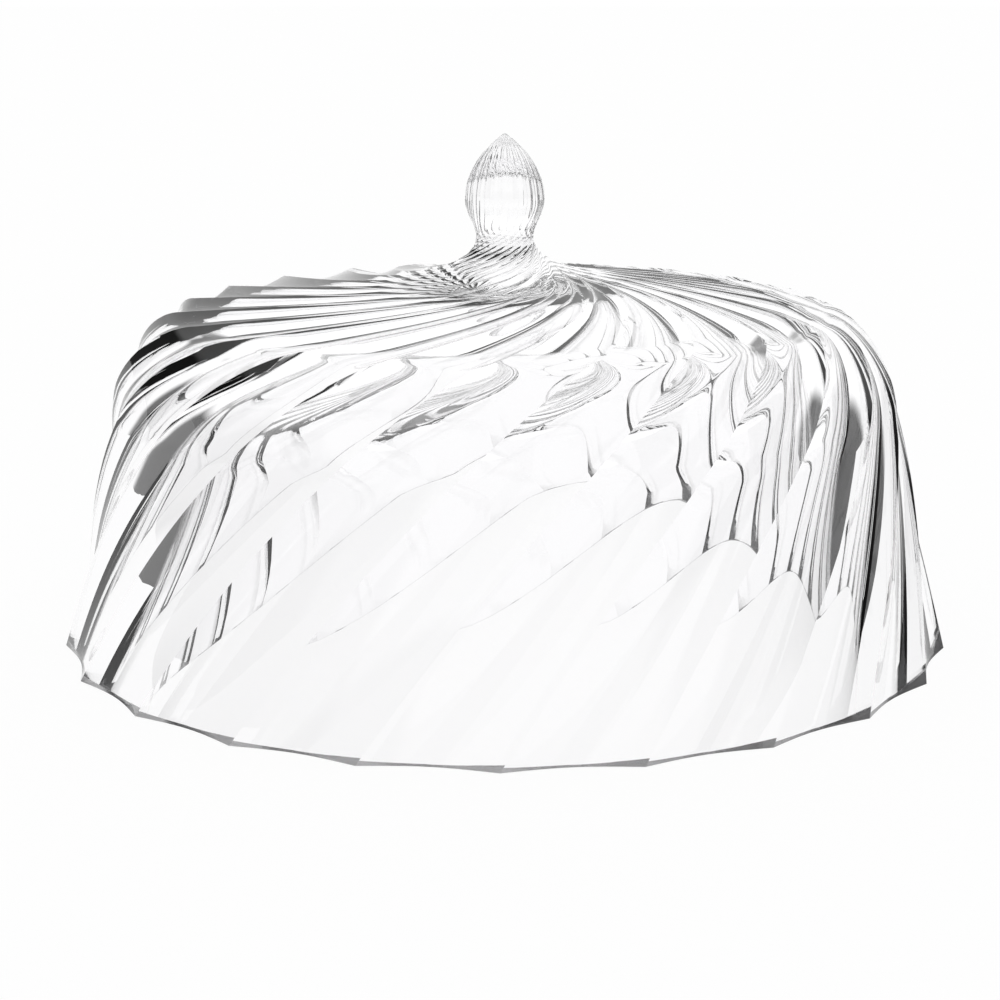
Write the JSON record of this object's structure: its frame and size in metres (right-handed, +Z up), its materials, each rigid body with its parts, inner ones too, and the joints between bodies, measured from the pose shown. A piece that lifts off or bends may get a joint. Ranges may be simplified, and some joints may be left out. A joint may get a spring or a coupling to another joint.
{
  "type": "cake dome",
  "caption": "Clear fluted cake dome: a wide swirl-fluted bell, open below, with a pointed fluted finial bonded into its neck as the lifting knob.",
  "frame": {"origin": "centre of the rim plane, on the surface that the dome stands on", "axes": "+Z up along the axis of the bell, through the finial's point; -Y is the side seen from the front"},
  "size_m": [0.2974, 0.3, 0.1706],
  "materials": {
    "clear_bell": "clear, polished",
    "clear_finial": "clear, polished"
  },
  "bodies": {
    "root": {"dome_shell": "clear_bell", "finial": "clear_finial"}
  },
  "joints": []
}
